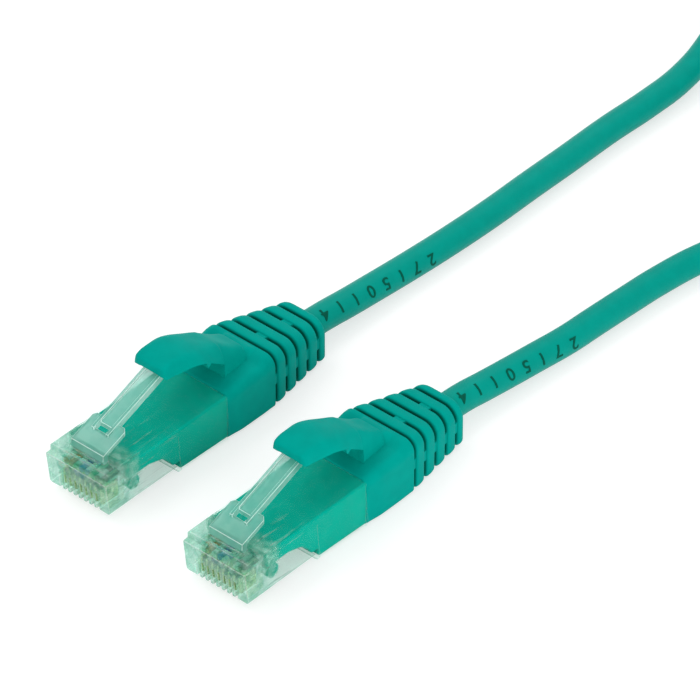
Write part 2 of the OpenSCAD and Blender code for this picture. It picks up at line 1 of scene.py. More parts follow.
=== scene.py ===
"""Dresses the ethernet patch cable: clear plugs, moulded boots and hoods, and one cord that ends in a tied coil.

Sizes of a plug are millimetres in the plug's own frame: X across, Y from the front lip to the rear, Z up from the
table. A plug's pieces are moved to its place, in metres, when their mesh is finished.
"""

from __future__ import annotations

import logging
import math
from collections.abc import Callable, Sequence
from dataclasses import dataclass
from enum import Enum

import bmesh
import bpy
from mathutils import Matrix, Vector
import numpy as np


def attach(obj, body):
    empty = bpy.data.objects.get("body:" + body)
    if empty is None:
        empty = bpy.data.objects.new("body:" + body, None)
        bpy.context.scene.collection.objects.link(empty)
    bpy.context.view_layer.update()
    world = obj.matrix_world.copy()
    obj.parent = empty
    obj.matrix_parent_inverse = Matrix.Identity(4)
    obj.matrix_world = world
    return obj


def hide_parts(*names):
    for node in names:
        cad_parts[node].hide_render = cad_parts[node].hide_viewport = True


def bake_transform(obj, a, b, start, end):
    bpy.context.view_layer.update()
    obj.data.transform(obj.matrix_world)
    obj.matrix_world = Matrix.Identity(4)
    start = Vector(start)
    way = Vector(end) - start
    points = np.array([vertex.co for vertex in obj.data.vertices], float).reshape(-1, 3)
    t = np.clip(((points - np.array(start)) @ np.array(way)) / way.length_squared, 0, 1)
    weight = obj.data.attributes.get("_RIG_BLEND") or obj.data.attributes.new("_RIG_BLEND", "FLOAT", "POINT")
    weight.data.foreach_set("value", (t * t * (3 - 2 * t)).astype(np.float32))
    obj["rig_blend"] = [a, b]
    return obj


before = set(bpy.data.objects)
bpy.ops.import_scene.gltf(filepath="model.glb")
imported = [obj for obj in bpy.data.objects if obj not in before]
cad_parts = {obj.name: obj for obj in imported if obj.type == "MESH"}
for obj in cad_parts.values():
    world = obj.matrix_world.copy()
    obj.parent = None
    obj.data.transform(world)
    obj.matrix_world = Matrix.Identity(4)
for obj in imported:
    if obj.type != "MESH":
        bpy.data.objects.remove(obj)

LOG = logging.getLogger("patch_cable")
MM = 0.001
Point = tuple[float, float, float]
Rgb = tuple[float, float, float]
Socket = bpy.types.NodeSocket
Material = bpy.types.Material
Piece = bpy.types.Object
Mesh = bmesh.types.BMesh


# ---- shader maths


@dataclass(frozen=True)
class Field:
    """A shader value: wraps one output socket and builds Math nodes from Python's operators."""

    graph: Graph
    socket: Socket

    def _math(self, operation: str, *values: Field | float) -> Field:
        """Adds a Math node with these inputs, in order, and returns its result."""
        return self.graph.field("ShaderNodeMath", {"operation": operation}, dict(enumerate(values)))

    def __add__(self, other: Field | float) -> Field:
        """The sum."""
        return self._math("ADD", self, other)

    def __rsub__(self, other: float) -> Field:
        """The difference from a number."""
        return self._math("SUBTRACT", other, self)

    def __mul__(self, other: Field | float) -> Field:
        """The product."""
        return self._math("MULTIPLY", self, other)

    __rmul__ = __mul__

    def band(self, low: float, high: float) -> Field:
        """A smooth step: 0 below low, 1 above high."""
        return self.graph.field(
            "ShaderNodeMapRange",
            {"interpolation_type": "SMOOTHSTEP"},
            {"Value": self, "From Min": low, "From Max": high},
        )


class Graph:
    """The nodes of one material, or of the world."""

    def __init__(self, name: str, world: bool = False) -> None:
        """Starts an empty graph.

        Args:
            name: the material's or the world's name.
            world: whether it is the world's.
        """
        self.kind = "World" if world else "Material"
        self.owner = (bpy.data.worlds if world else bpy.data.materials).new(name)
        self.owner.use_nodes = True
        self.tree = self.owner.node_tree
        self.tree.nodes.clear()

    def node(self, kind: str, settings: dict | None = None, inputs: dict | None = None) -> bpy.types.Node:
        """Adds any node.

        Args:
            kind: the node's type.
            settings: its properties, set first.
            inputs: values, fields or sockets of its inputs, by name or number.

        Returns:
            The node.
        """
        made = self.tree.nodes.new(kind)
        for key, value in (settings or {}).items():
            setattr(made, key, value)
        for key, value in (inputs or {}).items():
            if isinstance(value, Field):
                self.tree.links.new(value.socket, made.inputs[key])
            elif isinstance(value, Socket):
                self.tree.links.new(value, made.inputs[key])
            else:
                made.inputs[key].default_value = value
        return made

    def field(self, kind: str, settings: dict | None = None, inputs: dict | None = None, out: int | str = 0) -> Field:
        """Adds a node and wraps one of its outputs.

        Args:
            kind: the node's type.
            settings: its properties.
            inputs: its inputs.
            out: the output's name or number.

        Returns:
            The output.
        """
        return Field(self, self.node(kind, settings, inputs).outputs[out])

    def place(self) -> Socket:
        """The point on the object, in metres."""
        return self.node("ShaderNodeTexCoord").outputs["Object"]

    def painted(self, name: str) -> Field:
        """A value painted on the mesh's vertices; 0 where the mesh has none."""
        return self.field("ShaderNodeAttribute", {"attribute_name": name}, None, "Fac")

    def stretched(self, scale: Point) -> Socket:
        """The point on the object, scaled along each axis."""
        return self.node("ShaderNodeMapping", None, {"Vector": self.place(), "Scale": scale}).outputs[0]

    def noise(self, grain_mm: float, detail: float = 2.0, at: Socket | None = None) -> Field:
        """Noise of a given grain.

        Args:
            grain_mm: size of its features.
            detail: number of finer layers.
            at: where it is read, the object's own point if left out.

        Returns:
            The noise, 0 to 1.
        """
        return self.field(
            "ShaderNodeTexNoise",
            None,
            {"Vector": at or self.place(), "Scale": 1.0 / (grain_mm * MM), "Detail": detail},
        )

    def blend(self, share: Field | float, low: Rgb | Socket, high: Rgb | Socket) -> Socket:
        """A mix of two colours.

        Args:
            share: how much of the second colour.
            low: the first colour.
            high: the second colour.

        Returns:
            The mixed colour.
        """
        made = self.node("ShaderNodeMix", {"data_type": "RGBA"}, {0: share})
        for socket, colour in ((made.inputs[6], low), (made.inputs[7], high)):
            if isinstance(colour, Socket):
                self.tree.links.new(colour, socket)
            else:
                socket.default_value = (*colour, 1.0)
        return made.outputs[2]

    def bump(self, height: Field, depth_mm: float, strength: float = 1.0) -> Socket:
        """A bumped normal.

        Args:
            height: the relief, 0 to 1.
            depth_mm: how deep the relief is.
            strength: share of it that shows.

        Returns:
            The normal.
        """
        made = self.node("ShaderNodeBump", None, {"Height": height, "Distance": depth_mm * MM, "Strength": strength})
        return made.outputs[0]

    def shader(self, kind: str, inputs: dict) -> Socket:
        """Adds a shader.

        Args:
            kind: what follows "ShaderNodeBsdf" in its type.
            inputs: its sockets; a colour may be given as three numbers.

        Returns:
            Its output.
        """
        full = {k: (*v, 1.0) if isinstance(v, tuple) and len(v) == 3 else v for k, v in inputs.items()}
        return self.node(f"ShaderNodeBsdf{kind}", None, full).outputs[0]

    def mixed(self, share: Field | float, low: Socket, high: Socket) -> Socket:
        """A mix of two shaders.

        Args:
            share: how much of the second shader.
            low: the first shader.
            high: the second shader.

        Returns:
            The mixed shader.
        """
        return self.node("ShaderNodeMixShader", None, {0: share, 1: low, 2: high}).outputs[0]

    def emission(self, kind: str, strength: Field | float) -> Socket:
        """A white light of a given strength, "Emission" for a surface or "Background" for the world."""
        return self.node(f"ShaderNode{kind}", None, {"Color": (1, 1, 1, 1), "Strength": strength}).outputs[0]

    def seen(self) -> Field:
        """1 or more for a ray from the camera or from gloss or glass, 0 for one that lights a dull surface."""
        rays = self.node("ShaderNodeLightPath").outputs
        camera, glossy, clear = (Field(self, rays[f"Is {k} Ray"]) for k in ("Camera", "Glossy", "Transmission"))
        return camera + glossy + clear

    def end(self, shader: Socket) -> Material | bpy.types.World:
        """Ends the graph in a shader and returns what it belongs to."""
        self.node(f"ShaderNodeOutput{self.kind}", None, {"Surface": shader})
        return self.owner

    def surface(self, inputs: dict) -> Material:
        """Ends the graph in one Principled shader with these inputs and returns the material."""
        return self.end(self.shader("Principled", inputs))


# ---- finishes


@dataclass(frozen=True)
class SatinPvc:
    """Flexible PVC with a fine moulded grain; an optional second colour paints shade into the boot's slot floors."""

    name: str
    colour: Rgb
    roughness: float = 0.44
    grain_mm: float = 0.16
    relief_mm: float = 0.012
    gloss: float = 0.32
    sheen: Rgb = (1.0, 1.0, 1.0)
    slot_shade: Rgb | None = None

    def make(self) -> Material:
        """The material."""
        g = Graph(self.name)
        cloud = g.noise(2.4, 3.0)
        speck = g.noise(self.grain_mm)
        darker = tuple(0.95 * c for c in self.colour)
        lighter = tuple(min(1.0, 1.04 * c) for c in self.colour)
        colour = g.blend(0.75 * cloud.band(0.3, 0.7) + 0.25 * speck, darker, lighter)
        # Painted shade: the slot floors, as painted on the mesh, take on this darker colour.
        if self.slot_shade:
            colour = g.blend(g.painted("slot_shade"), colour, self.slot_shade)
        return g.surface(
            {
                "Base Color": colour,
                "Roughness": cloud * 0.06 + speck * 0.05 + (self.roughness - 0.055),
                "Specular IOR Level": self.gloss,
                "Specular Tint": self.sheen,
                "Normal": g.bump(speck + 0.6 * cloud, self.relief_mm),
            }
        )


@dataclass(frozen=True)
class ClearPlastic:
    """Injection-moulded clear polycarbonate.

    A share of it bends light and a share lets light straight on, past a faint milkiness. Where the mesh is painted
    "thick" it is milkier, less so on faces painted "inner"; faces painted "edge" carry a pale painted highlight line.
    """

    name: str
    tint: Rgb
    thick_tint: Rgb
    milk: Rgb
    shade: Rgb
    haze: float
    bending: float
    thick_haze: float = 0.36
    thick_bending: float = 0.25
    # share of the painted highlight line on faces painted "edge"
    edge_highlight: float = 0.3
    roughness: float = 0.05

    def make(self) -> Material:
        """The material."""
        g = Graph(self.name)
        flow = g.noise(1.0, 2.0, g.stretched((1.0, 0.25, 1.0)))
        mottle = g.noise(1.5, 2.0)
        speck = g.noise(0.25)
        streaks = g.noise(0.55, 2.0, g.stretched((1.0, 0.05, 1.0))).band(0.6, 0.72)
        thick, edge = g.painted("thick"), g.painted("edge")
        veil = thick * (1 - 0.85 * g.painted("inner"))
        waves = g.bump(flow + 0.4 * mottle, 0.01, 0.6)
        worn = flow * 0.02 + speck * 0.015 + (self.roughness - 0.015)
        glass = g.shader(
            "Principled",
            {
                "Base Color": g.blend(thick, self.tint, self.thick_tint),
                "Roughness": worn,
                "IOR": 1.585,
                "Specular Tint": (0.5, 1.0, 0.94),
                "Transmission Weight": 1.0,
                "Normal": waves,
            },
        )
        body = g.blend(mottle.band(0.38, 0.62), self.shade, self.milk)
        # On faces painted "edge" the milky colour turns near white: a painted highlight line.
        milky = g.shader(
            "Principled",
            {
                "Base Color": g.blend(edge, body, (0.88, 0.97, 0.93)),
                "Roughness": worn + 0.08,
                "Specular IOR Level": 0.25,
                "Normal": waves,
            },
        )
        thin, deep = (g.shader("Transparent", {"Color": c}) for c in (self.tint, self.thick_tint))
        straight = g.mixed(thick, thin, deep)
        # Painted light: the pale line on faces painted "edge" is a painted highlight, and the streaks where "lit" is
        # painted are painted sheen.
        haze = veil * self.thick_haze + edge * self.edge_highlight + streaks * g.painted("lit") * 0.4
        haze = haze + flow * 0.02 + (self.haze - 0.01)
        bending = veil * self.thick_bending + edge * 0.3 + self.bending
        return g.end(g.mixed(bending, g.mixed(haze, straight, milky), glass))


@dataclass(frozen=True)
class GoldPlate:
    """Gold-plated stamped bronze with fine rolling lines and duller edges."""

    name: str
    colour: Rgb = (0.95, 0.72, 0.42)

    def make(self) -> Material:
        """The material."""
        g = Graph(self.name)
        lines = g.noise(0.12, 2.0, g.stretched((1.0, 0.12, 1.0)))
        stain = g.noise(0.7, 3.0)
        return g.surface(
            {
                "Base Color": g.blend(stain.band(0.45, 0.8), self.colour, (0.85, 0.52, 0.28)),
                "Metallic": 1.0,
                "Roughness": lines * 0.16 + stain * 0.1 + 0.14,
                "Normal": g.bump(lines, 0.002, 0.5),
            }
        )


@dataclass(frozen=True)
class Insulation:
    """Satin polyethylene, drawn over a wire."""

    name: str
    colour: Rgb
    stripe: Rgb | None = None

    def make(self) -> Material:
        """The material."""
        g = Graph(self.name)
        draw = g.noise(0.3, 2.0, g.stretched((1.0, 0.2, 1.0)))
        base = g.blend(draw, tuple(0.94 * c for c in self.colour), self.colour)
        if self.stripe:
            ring = g.field("ShaderNodeTexWave", {"bands_direction": "Y"}, {"Vector": g.place(), "Scale": 120.0})
            base = g.blend(ring.band(0.72, 0.8), base, self.stripe)
        return g.surface({"Base Color": base, "Roughness": draw * 0.1 + 0.32, "Normal": g.bump(draw, 0.006)})


@dataclass(frozen=True)
class HookLoop:
    """Black hook-and-loop tape: a fuzzy woven face."""

    name: str
    colour: Rgb = (0.012, 0.012, 0.014)

    def make(self) -> Material:
        """The material."""
        g = Graph(self.name)
        fuzz = g.noise(0.22, 4.0)
        loops = g.field("ShaderNodeTexVoronoi", None, {"Vector": g.place(), "Scale": 1.0 / (0.45 * MM)})
        return g.surface(
            {
                "Base Color": g.blend(fuzz.band(0.35, 0.75), self.colour, (0.05, 0.05, 0.055)),
                "Roughness": fuzz * 0.15 + 0.8,
                "Sheen Weight": 0.35,
                "Sheen Roughness": 0.4,
                "Normal": g.bump(fuzz + loops, 0.12),
            }
        )


# ---- mesh work


class Loft:
    """A skin drawn out ring by ring from one circle of vertices."""

    def __init__(self, points: Sequence[Vector]) -> None:
        """Starts with the first ring.

        Args:
            points: its vertices, in order.
        """
        self.bm = bmesh.new()
        made = bmesh.ops.create_circle(self.bm, segments=len(points), radius=1.0)
        self.places = {v: i for i, v in enumerate(made["verts"])}
        self.edges = list(self.bm.edges)
        self._move(points)

    def _move(self, points: Sequence[Vector]) -> None:
        """Moves the newest ring's vertices, in order, to the points."""
        for vertex, i in self.places.items():
            vertex.co = points[i]

    def draw(self, points: Sequence[Vector]) -> None:
        """Extrudes the newest ring and moves what comes out.

        Args:
            points: the new ring's vertices, in order.
        """
        made = bmesh.ops.extrude_edge_only(self.bm, edges=self.edges)["geom"]
        fresh: dict[bmesh.types.BMVert, int] = {}
        for vertex in (g for g in made if isinstance(g, bmesh.types.BMVert)):
            for edge in vertex.link_edges:
                other = edge.other_vert(vertex)
                if other in self.places:
                    fresh[vertex] = self.places[other]
        self.places = fresh
        self.edges = [g for g in made if isinstance(g, bmesh.types.BMEdge)]
        self._move(points)

    def close(self) -> Mesh:
        """Fills both ends, turns the faces outward and returns the closed mesh."""
        bmesh.ops.holes_fill(self.bm, edges=self.bm.edges, sides=0)
        bmesh.ops.remove_doubles(self.bm, verts=self.bm.verts, dist=1e-5)
        bmesh.ops.recalc_face_normals(self.bm, faces=self.bm.faces)
        return self.bm


def bevel(bm: Mesh, edges: Sequence[bmesh.types.BMEdge], width: float, segments: int = 2) -> list[bmesh.types.BMFace]:
    """Rounds some edges.

    Args:
        bm: the mesh, in millimetres.
        edges: the edges.
        width: width of the bevel.
        segments: faces across it.

    Returns:
        The new faces.
    """
    made = bmesh.ops.bevel(
        bm, geom=edges, offset=width, offset_type="OFFSET", segments=segments, profile=0.5, affect="EDGES", material=-1
    )
    return made["faces"]


def soften(bm: Mesh, width: float, sharp: float, shortest: float, segments: int = 2) -> None:
    """Rounds the sharp edges that stick out, and paints the new faces "edge", which the clear plastic shows as a
    painted highlight line.

    Args:
        bm: the mesh, in millimetres.
        width: width of the bevel.
        sharp: smallest turn of an edge that is rounded, in degrees.
        shortest: length under which an edge is left.
        segments: faces across a bevel.
    """
    layer = bm.faces.layers.float.new("edge")
    edges = [
        e for e in bm.edges
        if len(e.link_faces) == 2 and e.is_convex and e.calc_length() > shortest
        and e.calc_face_angle(0.0) > math.radians(sharp)
    ]
    for face in bevel(bm, edges, width, segments):
        face[layer] = 1.0


def cut(bm: Mesh, places: Sequence[float], axis: int = 1) -> None:
    """Cuts a mesh's faces across, at some distances along an axis.

    Args:
        bm: the mesh.
        places: the distances.
        axis: the axis, Y if left out.
    """
    across = Vector((axis == 0, axis == 1, axis == 2))
    for place in places:
        geom = [*bm.verts, *bm.edges, *bm.faces]
        bmesh.ops.bisect_plane(bm, geom=geom, dist=1e-5, plane_co=place * across, plane_no=across)


@dataclass(frozen=True)
class Bench:
    """Where finished meshes are set down: a place on the table and a body to ride on."""

    origin: Point
    body: str
    flat_mm2: float = 3.0

    def finish(
        self,
        bm: Mesh,
        name: str,
        look: Finish,
        replaces: Sequence[str] = (),
        crease: float = 38.0,
        rides: bool = True,
        wash: dict[str, Callable[[Vector], float]] | None = None,
    ) -> Piece:
        """Turns a mesh in millimetres into a piece of the scene.

        Args:
            bm: the mesh, in the bench's frame; it is used up.
            name: name of the piece.
            look: its finish.
            replaces: the CAD nodes that it stands for.
            crease: edges that turn more than this stay sharp, in degrees.
            rides: whether it rides on the bench's body now.
            wash: values to keep on the vertices, each worked out from the place on the bench.

        Returns:
            The piece.
        """
        for title, value in (wash or {}).items():
            layer = bm.verts.layers.float.new(title)
            for vertex in bm.verts:
                vertex[layer] = value(vertex.co)
        bmesh.ops.translate(bm, vec=Vector(self.origin), verts=bm.verts)
        bmesh.ops.scale(bm, vec=(MM, MM, MM), verts=bm.verts)
        mesh = bpy.data.meshes.new(name)
        bm.to_mesh(mesh)
        bm.free()
        if "custom_normal" in mesh.attributes:
            mesh.attributes.remove(mesh.attributes["custom_normal"])
        mesh.shade_smooth()
        mesh.set_sharp_from_angle(angle=math.radians(crease))
        for polygon in mesh.polygons:
            polygon.use_smooth = polygon.area < self.flat_mm2 * MM * MM
        mesh.materials.append(look.build())
        piece = put(name, mesh)
        if rides:
            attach(piece, self.body)
        if replaces:
            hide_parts(*replaces)
        LOG.info("%s: %d faces", name, len(mesh.polygons))
        return piece

    def copy_node(self, node: str) -> Mesh:
        """A clean copy of a CAD node's mesh, with its flat faces joined.

        Args:
            node: the node.

        Returns:
            The mesh, in millimetres, in the bench's frame.
        """
        bm = bmesh.new()
        bm.from_mesh(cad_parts[node].data)
        bmesh.ops.scale(bm, vec=(1 / MM,) * 3, verts=bm.verts)
        bmesh.ops.translate(bm, vec=-Vector(self.origin), verts=bm.verts)
        bmesh.ops.remove_doubles(bm, verts=bm.verts, dist=1e-4)
        bmesh.ops.dissolve_limit(bm, angle_limit=math.radians(1.0), verts=bm.verts, edges=bm.edges)
        bmesh.ops.recalc_face_normals(bm, faces=bm.faces)
        return bm

    def round_node(self, node: str, name: str, look: Finish, width: float, sharp: float, shortest: float) -> Piece:
        """Sets down a CAD node with its sharp edges rounded.

        Args:
            node: the node.
            name: name of the piece.
            look: its finish.
            width: width of the bevel.
            sharp: smallest turn of an edge that is rounded, in degrees.
            shortest: length under which an edge is left.

        Returns:
            The piece.
        """
        bm = self.copy_node(node)
        soften(bm, width, sharp, shortest)
        return self.finish(bm, name, look, [node])


def put(name: str, data: bpy.types.ID) -> Piece:
    """Puts a new object in the scene.

    Args:
        name: its name.
        data: its mesh, curve, lamp or camera.

    Returns:
        The object.
    """
    made = bpy.data.objects.new(name, data)
    bpy.context.scene.collection.objects.link(made)
    return made


def dress(node: str, material: Material) -> None:
    """Gives a CAD node a new material."""
    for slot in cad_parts[node].material_slots:
        slot.material = material


# ---- curves


def lookup(x: float, table: Sequence[tuple[float, float]]) -> float:
    """Reads a table with a smooth curve through its points.

    Args:
        x: where to read it.
        table: (x, value) pairs in order.

    Returns:
        The value.
    """
    if x <= table[0][0]:
        return table[0][1]
    if x >= table[-1][0]:
        return table[-1][1]
    i = max(k for k, (t, _) in enumerate(table[:-1]) if t <= x)
    (x1, y1), (x2, y2) = table[i], table[i + 1]
    x0, y0 = table[i - 1] if i > 0 else (2 * x1 - x2, 2 * y1 - y2)
    x3, y3 = table[i + 2] if i + 2 < len(table) else (2 * x2 - x1, 2 * y2 - y1)
    slope1, slope2 = (y2 - y0) / (x2 - x0), (y3 - y1) / (x3 - x1)
    t = (x - x1) / (x2 - x1)
    run = x2 - x1
    return (
        (1 + 2 * t) * (1 - t) ** 2 * y1
        + t * (1 - t) ** 2 * run * slope1
        + t * t * (3 - 2 * t) * y2
        + t * t * (t - 1) * run * slope2
    )


def step(x: float, low: float, high: float) -> float:
    """A smooth step from 0 at low to 1 at high."""
    t = min(1.0, max(0.0, (x - low) / (high - low)))
    return t * t * (3 - 2 * t)


# ---- palette


def once(recipe: SatinPvc | ClearPlastic | GoldPlate | Insulation | HookLoop) -> Material:
    """A recipe's material, made when it is first asked for."""
    return bpy.data.materials.get(recipe.name) or recipe.make()


class Finish(Enum):
    """The finishes of the cable, each with the record's slot that it belongs to."""

    BOOT = (
        SatinPvc(
            "green_boot_pvc", (0.0, 0.34, 0.285), roughness=0.5, gloss=0.02, sheen=(0.12, 0.9, 0.9),
            # the last colour is painted shade, darkening the floors of the slots
            slot_shade=(0.0, 0.085, 0.045),
        ),
        "green_pvc",
    )
    CORD = (SatinPvc("green_jacket_pvc", (0.0, 0.31, 0.25), 0.38, 0.22, 0.008, 0.08, (0.3, 1.0, 0.96)), "green_pvc")
    INSERT = (SatinPvc("green_insert", (0.0, 0.41, 0.315), 0.5, gloss=0.05, sheen=(0.12, 0.9, 0.9)), "green_pvc")
    MARKS = (SatinPvc("dark_ink", (0.0, 0.1, 0.065), 0.5, gloss=0.05), "green_pvc")
    CLEAR = (
        ClearPlastic(
            "clear_polycarbonate_shell", tint=(0.97, 1.0, 0.99), thick_tint=(0.76, 0.95, 0.88),
            milk=(0.56, 0.92, 0.8), shade=(0.1, 0.54, 0.4), haze=0.008, bending=0.0,
        ),
        "clear_polycarbonate",
    )
    LATCH = (
        ClearPlastic(
            "clear_polycarbonate_latch", tint=(0.86, 0.98, 0.95), thick_tint=(0.8, 0.93, 0.88),
            # the latch's edges carry a stronger painted highlight line
            milk=(0.24, 0.58, 0.49), shade=(0.13, 0.5, 0.4), haze=0.32, bending=0.2, edge_highlight=0.65, roughness=0.3,
        ),
        "clear_polycarbonate",
    )
    GOLD = (GoldPlate("gold_plated_blade"), "gold_plate")
    NYLON = (SatinPvc("white_load_bar", (0.78, 0.78, 0.74), 0.4), "white_nylon")
    STRAP = (HookLoop("black_strap"), "black_hook_and_loop")

    def build(self) -> Material:
        """The finish's material, made once."""
        return once(self.value[0])

    @property
    def slot(self) -> str:
        """The record's material slot."""
        return self.value[1]


WHITE: Rgb = (0.82, 0.80, 0.76)
ORANGE: Rgb = (0.82, 0.25, 0.04)
GREEN: Rgb = (0.04, 0.36, 0.12)
BLUE: Rgb = (0.03, 0.15, 0.5)
BROWN: Rgb = (0.2, 0.08, 0.03)
WIRE_FINISHES = (
    Insulation("insulation_white_orange", WHITE, ORANGE),
    Insulation("insulation_orange", ORANGE),
    Insulation("insulation_white_green", WHITE, GREEN),
    Insulation("insulation_blue", BLUE),
    Insulation("insulation_white_blue", WHITE, BLUE),
    Insulation("insulation_green", GREEN),
    Insulation("insulation_white_brown", WHITE, BROWN),
    Insulation("insulation_brown", BROWN),
)


# ---- plug


@dataclass
class Plug:
    """One clear plug with its contacts, wires, moulded boot and hood."""

    side: str
    origin: Point
    half_w: float = 5.84
    top_z: float = 7.75
    housing_len: float = 25.1
    cavity_half_w: float = 5.24
    insert_front_y: float = 4.8
    insert_top: float = 7.0
    insert_low: float = 0.6
    fill: float = 0.5
    floor_fill: float = 0.45
    flare_y: float = 15.4
    flare_w: float = 0.26
    flare_h: float = 0.22
    row_z: float = 5.4
    wire_d: float = 0.94
    boot_half_w: float = 6.5
    boot_h: float = 8.7
    boot_end: float = 48.4
    joint_in: float = 0.3
    joint_down: float = 0.6
    joint_end_y: float = 28.6
    hump_y: float = 32.4
    hump_h: float = 9.4
    block_z: float = 10.35
    block_fall: float = 0.55
    block_half_w: float = 2.1
    relief_y: float = 35.1
    slots: int = 5
    slot_pitch: float = 2.74
    slot_w: float = 0.78
    slot_depth: float = 1.05
    side_taper: float = 0.155
    top_taper: float = 0.165
    bar_front_z: float = 4.75
    bar_fall: float = 0.35
    bar_half_h: float = 1.1
    bridge_x: float = 0.8
    bridge_half_w: float = 1.1
    hood_tip_y: float = 15.5
    hood_bend_y: float = 26.8
    hood_hinge_y: float = 31.2
    hood_axis_z: float = 8.75
    hood_peak_z: float = 17.23
    hood_half_w: float = 4.2
    hood_root_half_w: float = 3.3
    hood_side_h: float = 3.2
    hood_root_y: float = 27.35
    hood_root_z: float = 7.9
    hood_end_y: float = 33.0
    hood_wall: float = 0.9
    lip_r: float = 0.5
    tooth_y: float = 23.5
    tooth_h: float = 0.85

    RIDGE = (
        (0, 0.945), (0.031, 0.96), (0.082, 0.985), (0.182, 1), (0.327, 0.983), (0.434, 0.931), (0.509, 0.874),
        (0.623, 0.771), (0.758, 0.646), (0.852, 0.52), (0.94, 0.4), (1, 0.33), (1.06, 0.27), (1.1, 0.21), (1.125, 0.05),
    )
    SIDES = (
        (0, 0.56), (0.031, 0.59), (0.096, 0.64), (0.182, 0.69), (0.327, 0.65), (0.434, 0.67), (0.509, 0.69),
        (0.623, 0.81), (0.758, 0.98),
    )
    SPREAD = ((0.3, 1), (0.434, 0.94), (0.509, 0.83), (0.623, 0.61), (0.758, 0.33), (1, 0.06), (1.066, 0))
    TIP = ((0, 0.7), (0.013, 0.735), (0.031, 0.76), (0.096, 0.8), (0.182, 0.855), (0.327, 0.96), (0.42, 1))
    BULGE = ((0, 18), (0.1, 13), (0.2, 8), (0.45, 4), (0.758, 5.5), (1, 7))

    def __post_init__(self) -> None:
        """Makes the plug's benches."""
        self.bench = Bench(self.origin, "cable")
        self.hood_bench = Bench(self.origin, f"hood_{self.side}")
        self.latch_bench = Bench(self.origin, f"latch_{self.side}")

    def node(self, kind: str) -> str:
        """The name of one of the plug's CAD nodes."""
        return f"plug_{self.side}_{kind}"

    def build(self) -> None:
        """Makes and dresses every piece of the plug."""
        self.housing()
        self.latch()
        self.contacts()
        self.wires()
        self.insert()
        self.boot()
        self.hood()
        dress(self.node("jacket_end"), Finish.CORD.build())
        dress(self.node("load_bar"), Finish.NYLON.build())

    def housing(self) -> None:
        """The clear housing: the solid's own form with its long edges rounded."""
        bm = self.bench.copy_node(self.node("housing"))
        for vertex in bm.verts:
            p = vertex.co
            if abs(abs(p.x) - self.cavity_half_w) < 0.02:
                p.x = math.copysign(self.cavity_half_w + self.fill + 0.02, p.x)
            if abs(p.z - self.insert_top) < 0.1 and p.y > self.insert_front_y - 0.1:
                p.z += self.fill
            if abs(p.z - self.insert_low) < 0.1 and p.y > self.flare_y:
                p.z -= self.floor_fill
        soften(bm, width=0.09, sharp=35.0, shortest=0.9)
        inner = bm.faces.layers.float.new("inner")
        edge = bm.faces.layers.float["edge"]
        for face in bm.faces:
            p = face.calc_center_median()
            beside, over = self.half_w - abs(p.x), self.top_z - p.z
            wall, roof, base, lip = 0.14, 0.45, 1.0, 0.6
            outside = beside < wall or over < roof or p.z < base or p.y < lip
            face[inner] = 0.0 if outside else 1.0
            # Behind the nose the painted highlight on the bevels is kept faint on the outer skin and dropped inside.
            if p.y > self.insert_front_y:
                face[edge] *= 0.4 if beside < 0.04 or over < 0.07 or p.z < 0.04 else 0.0
        fade = (*(4 + 0.5 * k for k in range(9)), 12.0, self.flare_y - 0.3, self.flare_y)
        cut(bm, fade)
        cut(bm, (1.0, 1.3, 1.6), axis=2)
        self.flare(bm)
        self.bench.finish(
            bm, self.node("clear_shell"), Finish.CLEAR, [self.node("housing")],
            wash={
                "thick": lambda p: max(1 - step(p.y, 4.0, 8.0), 0.4 * (p.z < 1.45) * (p.y < self.flare_y - 0.1)),
                # where faint pale streaks of painted sheen show, over the front of the housing
                "lit": lambda p: step(p.y, 3.0, 5.0) * (1 - step(p.y, 7.0, 16.0)),
            },
        )

    def flare(self, bm: Mesh) -> None:
        """Widens a mesh evenly toward its rear, up to the boot's front.

        Args:
            bm: the mesh, cut across at the place where the flare starts.
        """
        for vertex in bm.verts:
            p = vertex.co
            share = max(0.0, p.y - self.flare_y) / (self.housing_len - self.flare_y)
            if abs(p.x) > 5.0:
                p.x += math.copysign(self.flare_w * share, p.x)
            if p.z > 6.5:
                p.z += self.flare_h * share

    def latch(self) -> None:
        """The clear latch, with its edges rounded."""
        node, name = self.node("latch"), self.node("clear_latch")
        self.latch_bench.round_node(node, name, Finish.LATCH, width=0.08, sharp=35.0, shortest=0.3)

    def contacts(self) -> None:
        """The eight gold-plated blades, with rolled edges."""
        for i in range(1, 9):
            node, name = self.node(f"contact_{i}"), self.node(f"blade_{i}")
            self.bench.round_node(node, name, Finish.GOLD, width=0.03, sharp=50.0, shortest=0.2)

    def wires(self) -> None:
        """The eight insulated wires, in the standard order of colours."""
        for i, recipe in enumerate(WIRE_FINISHES, 1):
            dress(self.node(f"wire_{i}"), once(recipe))

